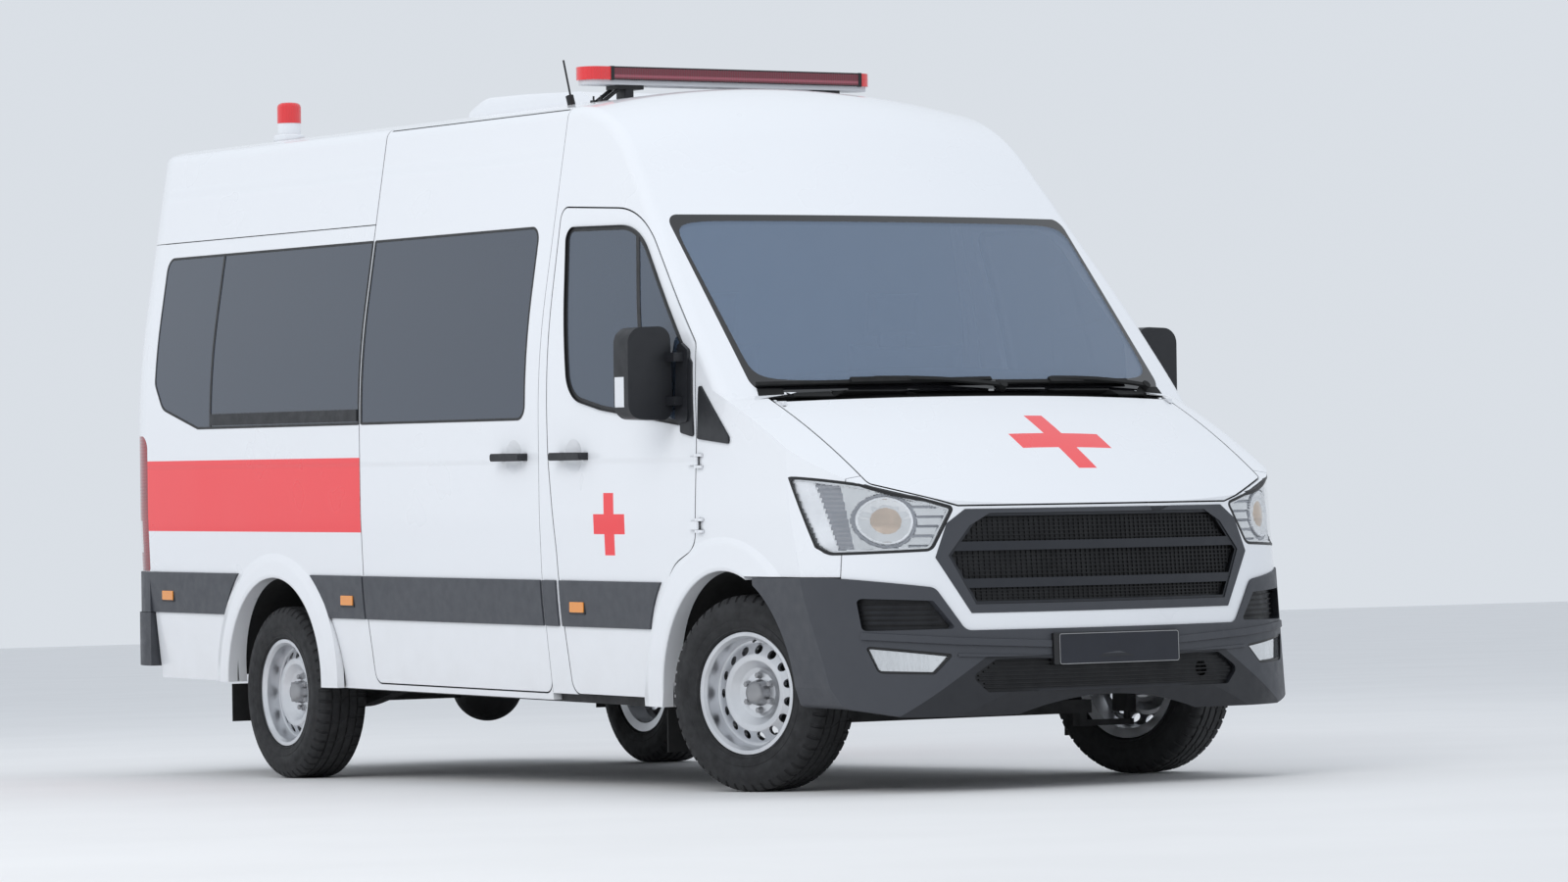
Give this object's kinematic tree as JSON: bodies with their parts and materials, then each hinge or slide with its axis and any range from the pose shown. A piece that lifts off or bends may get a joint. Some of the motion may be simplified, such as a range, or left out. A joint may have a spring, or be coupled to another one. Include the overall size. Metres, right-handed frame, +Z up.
{
  "type": "ambulance",
  "caption": "High-roofed van ambulance with steered front wheels, hinged doors and bonnet, sliding side door, roof light bar and beacon.",
  "frame": {"origin": "on the ground, at the middle of the bounding box", "axes": "+X forward, +Y to the vehicle's left, +Z up"},
  "size_m": [6.1841, 2.436, 2.9019],
  "materials": {
    "aerial": "black plastic",
    "arch_liners": "black plastic",
    "bonnet": "gloss white paint",
    "bulkhead": "black chassis paint",
    "cab_shell": "gloss white paint",
    "chassis_rails": "black chassis paint",
    "cowl": "black plastic",
    "dashboard": "grey trim",
    "door_trim": "grained dark grey plastic",
    "engine_block": "black chassis paint",
    "exhaust": "black chassis paint",
    "floor_pan": "black chassis paint",
    "front_bumper": "grained dark grey plastic",
    "front_door_glass": "dark tinted glass",
    "front_door": "gloss white paint",
    "front_lenses": "clear glass",
    "front_seats": "grey cloth",
    "front_subframe": "black chassis paint",
    "front_wings": "gloss white paint",
    "fuel_tank": "black plastic",
    "grilles": "black plastic",
    "headlamp_bowls": "silver paint",
    "knuckle": "black chassis paint",
    "leaf_springs": "black chassis paint",
    "lightbar_base": "black plastic",
    "nose_panel": "gloss white paint",
    "partition": "grey trim",
    "rear_axle": "black chassis paint",
    "rear_bumper": "grained dark grey plastic",
    "rear_door_glass": "dark tinted glass",
    "rear_door": "gloss white paint",
    "rim": "silver paint",
    "roof_panel": "gloss white paint",
    "roof_units": "gloss white paint",
    "side_bench": "grey trim",
    "side_glass": "dark tinted glass",
    "side_panel": "gloss white paint",
    "side_trim": "grained dark grey plastic",
    "sliding_door": "gloss white paint",
    "steering_wheel": "black plastic",
    "stretcher": "silver paint",
    "tail_lamps": "red lens",
    "tyre": "black rubber",
    "upper_side": "gloss white paint",
    "warning_lenses": "red lens",
    "windscreen": "clear glass"
  },
  "bodies": {
    "vehicle": {"aerial": "aerial", "arch_liners": "arch_liners", "bulkhead": "bulkhead", "cab_shell": "cab_shell", "chassis_rails": "chassis_rails", "cowl": "cowl", "dashboard": "dashboard", "engine_block": "engine_block", "exhaust": "exhaust", "floor_pan": "floor_pan", "front_bumper": "front_bumper", "front_lenses": "front_lenses", "front_seats": "front_seats", "front_subframe": "front_subframe", "front_wings": "front_wings", "fuel_tank": "fuel_tank", "grilles": "grilles", "headlamp_bowls": "headlamp_bowls", "leaf_springs": "leaf_springs", "lightbar_base": "lightbar_base", "nose_panel": "nose_panel", "partition": "partition", "rear_axle": "rear_axle", "rear_bumper": "rear_bumper", "roof_panel": "roof_panel", "roof_units": "roof_units", "side_bench": "side_bench", "side_glass": "side_glass", "side_panel_left": "side_panel", "side_panel_right": "side_panel", "side_trim": "side_trim", "sliding_door": "sliding_door", "steering_wheel": "steering_wheel", "stretcher": "stretcher", "tail_lamps": "tail_lamps", "upper_sides": "upper_side", "warning_lenses": "warning_lenses", "windscreen": "windscreen"},
    "door_front_left": {"front_door_left": "front_door", "front_door_glass_left": "front_door_glass", "door_trim_left": "door_trim"},
    "door_front_right": {"front_door_right": "front_door", "front_door_glass_right": "front_door_glass", "door_trim_right": "door_trim"},
    "door_rear_left": {"rear_door_left": "rear_door", "rear_door_glass_left": "rear_door_glass"},
    "door_rear_right": {"rear_door_right": "rear_door", "rear_door_glass_right": "rear_door_glass"},
    "bonnet": {"bonnet": "bonnet"},
    "knuckle_left": {"knuckle_left": "knuckle"},
    "knuckle_right": {"knuckle_right": "knuckle"},
    "wheel_front_left": {"tyre_front_left": "tyre", "rim_front_left": "rim"},
    "wheel_front_right": {"tyre_front_right": "tyre", "rim_front_right": "rim"},
    "wheel_rear_left": {"tyre_rear_left": "tyre", "rim_rear_left": "rim"},
    "wheel_rear_right": {"tyre_rear_right": "tyre", "rim_rear_right": "rim"}
  },
  "joints": [
    {"name": "steer_left", "type": "hinge", "parent": "vehicle", "child": "knuckle_left", "pos_m": [2.05146, 0.76, 0.356], "axis": [0, 0, 1], "range_deg": [-53, 17]},
    {"name": "roll_front_left", "type": "hinge", "parent": "knuckle_left", "child": "wheel_front_left", "pos_m": [2.02179, 0.8513, 0.356], "axis": [-0.309, 0.9511, 0], "continuous": true},
    {"name": "roll_rear_left", "type": "hinge", "parent": "vehicle", "child": "wheel_rear_left", "pos_m": [-1.59354, 0.856, 0.356], "axis": [0, 1, 0], "continuous": true},
    {"name": "front_door_hinge_left", "type": "hinge", "parent": "vehicle", "child": "door_front_left", "pos_m": [1.93044, 1.023, 1.08307], "axis": [-0.0262, 0, -0.9997], "range_deg": [0, 70]},
    {"name": "rear_door_hinge_left", "type": "hinge", "parent": "vehicle", "child": "door_rear_left", "pos_m": [-3.06906, 0.806, 1.43506], "axis": [-0.0262, 0, -0.9997], "range_deg": [0, 180]},
    {"name": "steer_right", "type": "hinge", "parent": "vehicle", "child": "knuckle_right", "pos_m": [2.05146, -0.76, 0.356], "axis": [0, 0, 1], "range_deg": [-53, 17]},
    {"name": "roll_front_right", "type": "hinge", "parent": "knuckle_right", "child": "wheel_front_right", "pos_m": [2.08112, -0.8513, 0.356], "axis": [-0.309, 0.9511, 0], "continuous": true},
    {"name": "roll_rear_right", "type": "hinge", "parent": "vehicle", "child": "wheel_rear_right", "pos_m": [-1.59354, -0.856, 0.356], "axis": [0, 1, 0], "continuous": true},
    {"name": "front_door_hinge_right", "type": "hinge", "parent": "vehicle", "child": "door_front_right", "pos_m": [1.93044, -1.023, 1.08307], "axis": [0.0262, 0, 0.9997], "range_deg": [0, 70]},
    {"name": "rear_door_hinge_right", "type": "hinge", "parent": "vehicle", "child": "door_rear_right", "pos_m": [-3.06906, -0.806, 1.43506], "axis": [0.0262, 0, 0.9997], "range_deg": [0, 180]},
    {"name": "bonnet_hinge", "type": "hinge", "parent": "vehicle", "child": "bonnet", "pos_m": [2.20083, 0, 1.4001], "axis": [0, -1, 0], "range_deg": [0, 50]}
  ],
  "couplings": [
    {"joint": "steer_right", "follows": "steer_left", "ratio": 1}
  ]
}
